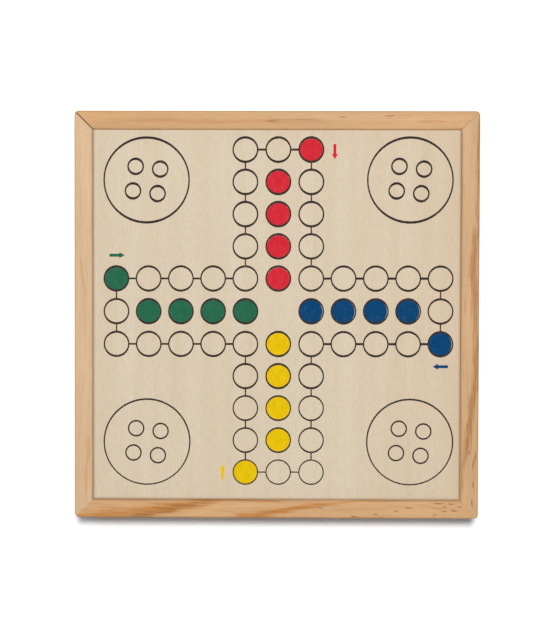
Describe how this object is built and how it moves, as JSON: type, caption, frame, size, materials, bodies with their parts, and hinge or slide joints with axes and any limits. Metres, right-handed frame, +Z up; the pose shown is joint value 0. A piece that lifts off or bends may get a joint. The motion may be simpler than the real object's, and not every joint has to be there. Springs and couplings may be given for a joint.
{
  "type": "folding ludo board box",
  "caption": "Square wooden game case whose lid carries a ludo board; opens flat on a hinged edge over a divided tray that holds the pawns and the die.",
  "frame": {"origin": "bottom centre of the shut case, on the surface that it lies on", "axes": "+X to the right of the board as pictured, +Y to the hinged edge, +Z up out of the board"},
  "size_m": [0.29, 0.2933, 0.044],
  "materials": {
    "pine": "planed pine, matt clear lacquer",
    "board_plywood": "pale plywood face, matt clear lacquer over the print",
    "bottom_plywood": "pale plywood, sanded, unlacquered",
    "slat_plywood": "thin plywood slats, sanded",
    "ink_black": "screen-printed ink, matt",
    "ink_red": "screen-printed ink, matt",
    "ink_yellow": "screen-printed ink, matt",
    "ink_green": "screen-printed ink, matt",
    "ink_blue": "screen-printed ink, matt",
    "pawn_red": "turned wood, gloss lacquer",
    "pawn_yellow": "turned wood, gloss lacquer",
    "pawn_green": "turned wood, gloss lacquer",
    "pawn_blue": "turned wood, gloss lacquer",
    "die_wood": "tumbled wood with painted pips",
    "hinge_brass": "brass-plated sheet, lightly brushed",
    "screw_brass": "brass-plated, with a cross recess",
    "pin_steel": "drawn steel wire",
    "brad_steel": "bright steel",
    "magnet_nickel": "nickel plate"
  },
  "bodies": {
    "base": {"base_rail_front": "pine", "base_rail_back": "pine", "base_rail_left": "pine", "base_rail_right": "pine", "bottom_panel": "bottom_plywood", "base_corner_brads": "brad_steel", "base_magnets": "magnet_nickel", "tray_divider": "slat_plywood", "cell_divider_1": "slat_plywood", "cell_divider_2": "slat_plywood", "cell_divider_3": "slat_plywood", "cell_divider_4": "slat_plywood", "pawn_red_1": "pawn_red", "pawn_red_2": "pawn_red", "pawn_red_3": "pawn_red", "pawn_red_4": "pawn_red", "pawn_yellow_1": "pawn_yellow", "pawn_yellow_2": "pawn_yellow", "pawn_yellow_3": "pawn_yellow", "pawn_yellow_4": "pawn_yellow", "pawn_green_1": "pawn_green", "pawn_green_2": "pawn_green", "pawn_green_3": "pawn_green", "pawn_green_4": "pawn_green", "pawn_blue_1": "pawn_blue", "pawn_blue_2": "pawn_blue", "pawn_blue_3": "pawn_blue", "pawn_blue_4": "pawn_blue", "die": "die_wood", "hinge_left_base_leaf": "hinge_brass", "hinge_right_base_leaf": "hinge_brass", "hinge_left_pin": "pin_steel", "hinge_right_pin": "pin_steel", "hinge_screws_base": "screw_brass"},
    "lid": {"lid_rail_front": "pine", "lid_rail_back": "pine", "lid_rail_left": "pine", "lid_rail_right": "pine", "board_panel": "board_plywood", "print_lines": "ink_black", "print_red": "ink_red", "print_yellow": "ink_yellow", "print_green": "ink_green", "print_blue": "ink_blue", "lid_corner_brads": "brad_steel", "lid_magnets": "magnet_nickel", "hinge_left_lid_leaf": "hinge_brass", "hinge_right_lid_leaf": "hinge_brass", "hinge_screws_lid": "screw_brass"}
  },
  "joints": [
    {"name": "lid_fold", "type": "hinge", "parent": "base", "child": "lid", "pos_m": [0, 0.1462, 0.022], "axis": [-1, 0, 0], "range_deg": [0, 180]}
  ]
}
